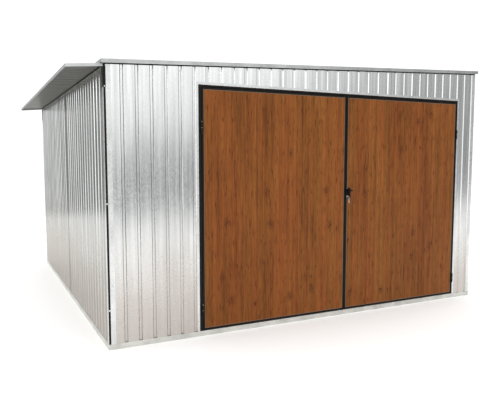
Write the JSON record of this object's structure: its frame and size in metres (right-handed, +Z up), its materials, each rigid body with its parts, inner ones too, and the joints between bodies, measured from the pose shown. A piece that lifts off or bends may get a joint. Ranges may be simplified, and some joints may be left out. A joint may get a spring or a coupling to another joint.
{
  "type": "sheet-metal garage",
  "caption": "Sheet-metal garage with a mono-pitch roof, a low-side eave, a steel tube frame and a pair of side-hung wood-effect doors.",
  "frame": {"origin": "on the ground under the middle of the whole building's box", "axes": "+X to the building's right, seen from the front; +Y from the front with the doors to the back; +Z up"},
  "size_m": [4.2944, 4.259, 2.4725],
  "materials": {
    "galvanised_steel": "galvanised, semi-bright, with fine spangle",
    "black_frame": "black satin enamel",
    "wood_effect_steel": "wood-effect film coat, satin",
    "zinc_hinges": "turned steel, dull",
    "black_fittings": "black satin"
  },
  "bodies": {
    "building": {"back_sheet_left": "galvanised_steel", "back_sheet_right": "galvanised_steel", "base_rail_back": "galvanised_steel", "base_rail_front": "galvanised_steel", "base_rail_left": "galvanised_steel", "base_rail_right": "galvanised_steel", "corner_posts": "black_frame", "cover_strips": "galvanised_steel", "door_head": "black_frame", "door_posts": "black_frame", "door_strips": "galvanised_steel", "eave_edge": "galvanised_steel", "eave_ends": "galvanised_steel", "eave_sheet": "galvanised_steel", "eaves_rails": "black_frame", "front_sheet_left": "galvanised_steel", "front_sheet_right": "galvanised_steel", "gable_rails": "black_frame", "head_sheet_left": "galvanised_steel", "head_sheet_right": "galvanised_steel", "head_studs": "black_frame", "hinge_pins": "zinc_hinges", "left_sheet_back": "galvanised_steel", "left_sheet_front": "galvanised_steel", "mid_posts": "black_frame", "right_sheet_back": "galvanised_steel", "right_sheet_front": "galvanised_steel", "roof_edges": "galvanised_steel", "roof_purlins": "black_frame", "roof_rafter": "black_frame", "roof_sheet_1": "galvanised_steel", "roof_sheet_2": "galvanised_steel", "roof_sheet_3": "galvanised_steel", "roof_sheet_4": "galvanised_steel", "verge_caps": "galvanised_steel", "wall_girts": "black_frame"},
    "left_leaf": {"left_leaf_stiles": "black_frame", "left_leaf_rails": "black_frame", "left_leaf_panel": "wood_effect_steel", "left_hinge_knuckles": "black_frame"},
    "right_leaf": {"right_leaf_stiles": "black_frame", "right_leaf_rails": "black_frame", "right_leaf_panel": "wood_effect_steel", "right_hinge_knuckles": "black_frame", "lock_plate": "black_fittings"},
    "handle": {"lever_handle": "black_fittings"}
  },
  "joints": [
    {"name": "left_leaf_hinge", "type": "hinge", "parent": "building", "child": "left_leaf", "pos_m": [-1.06483, -2.0944, 0], "axis": [0, 0, -1], "range_deg": [0, 170]},
    {"name": "right_leaf_hinge", "type": "hinge", "parent": "building", "child": "right_leaf", "pos_m": [1.87017, -2.0944, 0], "axis": [0, 0, 1], "range_deg": [0, 170]},
    {"name": "handle_turn", "type": "hinge", "parent": "right_leaf", "child": "handle", "pos_m": [0.43967, -2.0895, 1.222], "axis": [0, 1, 0], "range_deg": [0, 40], "stiffness_Nm_per_rad": 0.6, "springref_deg": -20.05}
  ]
}
